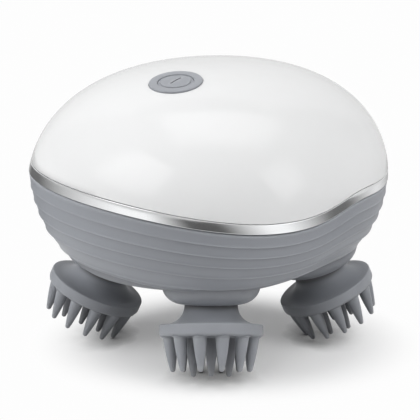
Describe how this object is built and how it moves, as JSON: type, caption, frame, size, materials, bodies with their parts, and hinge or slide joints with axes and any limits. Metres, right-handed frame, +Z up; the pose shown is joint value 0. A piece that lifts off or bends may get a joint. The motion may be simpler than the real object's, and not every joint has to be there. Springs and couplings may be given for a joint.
{
  "type": "electric scalp massager",
  "caption": "Handheld cordless scalp massager: egg-shaped two-tone body with a power button on top and splayed turning silicone heads with soft fingers underneath",
  "frame": {"origin": "under the middle of the body, on the surface that the finger tips stand on", "axes": "+Z up through the body, -Y towards the end with the power button (the body's long axis), +X to the right seen from above the button"},
  "size_m": [0.1018, 0.1158, 0.0871],
  "materials": {
    "white_gloss": "high-gloss white ABS",
    "silver_trim": "satin-chromed plastic",
    "grey_shell": "semi-gloss blue-grey ABS",
    "grey_button": "satin grey ABS",
    "grey_silicone": "satin grey silicone",
    "black_nylon": "matte black nylon",
    "white_nylon": "natural acetal",
    "steel": "bright drawn steel",
    "brass": "machined brass",
    "blue_sleeve": "shrink sleeve",
    "board_green": "solder-masked board"
  },
  "bodies": {
    "base": {"top_cover": "white_gloss", "trim_ring": "silver_trim", "lower_housing": "grey_shell", "button_bezel": "grey_button", "tact_switch": "black_nylon", "circuit_board": "board_green", "chassis": "black_nylon", "battery_cell": "blue_sleeve", "motor_can": "steel", "head_bush_front_right": "brass", "head_bush_rear_right": "brass", "head_bush_rear_left": "brass", "head_bush_front_left": "brass", "base_screw_right": "steel", "base_screw_rear": "steel", "base_screw_left": "steel", "base_screw_front": "steel", "charge_contact_left": "brass", "charge_contact_right": "brass"},
    "button": {"power_button": "grey_button", "switch_plunger": "black_nylon"},
    "drive": {"drive_shaft": "steel", "drive_gear": "white_nylon", "reduction_wheel": "white_nylon"},
    "rotor": {"motor_shaft": "steel", "motor_pinion": "brass"},
    "head_front_right": {"massage_head_front_right": "grey_silicone", "head_hub_front_right": "black_nylon", "head_shaft_front_right": "steel", "head_gear_front_right": "white_nylon"},
    "head_rear_right": {"massage_head_rear_right": "grey_silicone", "head_hub_rear_right": "black_nylon", "head_shaft_rear_right": "steel", "head_gear_rear_right": "white_nylon"},
    "head_rear_left": {"massage_head_rear_left": "grey_silicone", "head_hub_rear_left": "black_nylon", "head_shaft_rear_left": "steel", "head_gear_rear_left": "white_nylon"},
    "head_front_left": {"massage_head_front_left": "grey_silicone", "head_hub_front_left": "black_nylon", "head_shaft_front_left": "steel", "head_gear_front_left": "white_nylon"}
  },
  "joints": [
    {"name": "button_press", "type": "slide", "parent": "base", "child": "button", "axis": [-0.0896, 0.189, -0.9779], "range_m": [0, 0.0005], "stiffness_N_per_m": 3000},
    {"name": "drive_spin", "type": "hinge", "parent": "base", "child": "drive", "pos_m": [0, 0, 0.05], "axis": [0, 0, 1], "continuous": true},
    {"name": "motor_spin", "type": "hinge", "parent": "base", "child": "rotor", "pos_m": [0, 0.025, 0.06], "axis": [0, 0, 1], "continuous": true},
    {"name": "head_spin_front_right", "type": "hinge", "parent": "base", "child": "head_front_right", "pos_m": [0.0251, -0.0251, 0.0169], "axis": [-0.2842, 0.2842, 0.9157], "continuous": true},
    {"name": "head_spin_rear_right", "type": "hinge", "parent": "base", "child": "head_rear_right", "pos_m": [0.0251, 0.0251, 0.0169], "axis": [-0.2842, -0.2842, 0.9157], "continuous": true},
    {"name": "head_spin_rear_left", "type": "hinge", "parent": "base", "child": "head_rear_left", "pos_m": [-0.0251, 0.0251, 0.0169], "axis": [0.2842, -0.2842, 0.9157], "continuous": true},
    {"name": "head_spin_front_left", "type": "hinge", "parent": "base", "child": "head_front_left", "pos_m": [-0.0251, -0.0251, 0.0169], "axis": [0.2842, 0.2842, 0.9157], "continuous": true}
  ],
  "couplings": [
    {"joint": "motor_spin", "follows": "drive_spin", "ratio": -4},
    {"joint": "head_spin_front_right", "follows": "drive_spin", "ratio": -1.5},
    {"joint": "head_spin_rear_right", "follows": "drive_spin", "ratio": -1.5},
    {"joint": "head_spin_rear_left", "follows": "drive_spin", "ratio": -1.5},
    {"joint": "head_spin_front_left", "follows": "drive_spin", "ratio": -1.5}
  ]
}
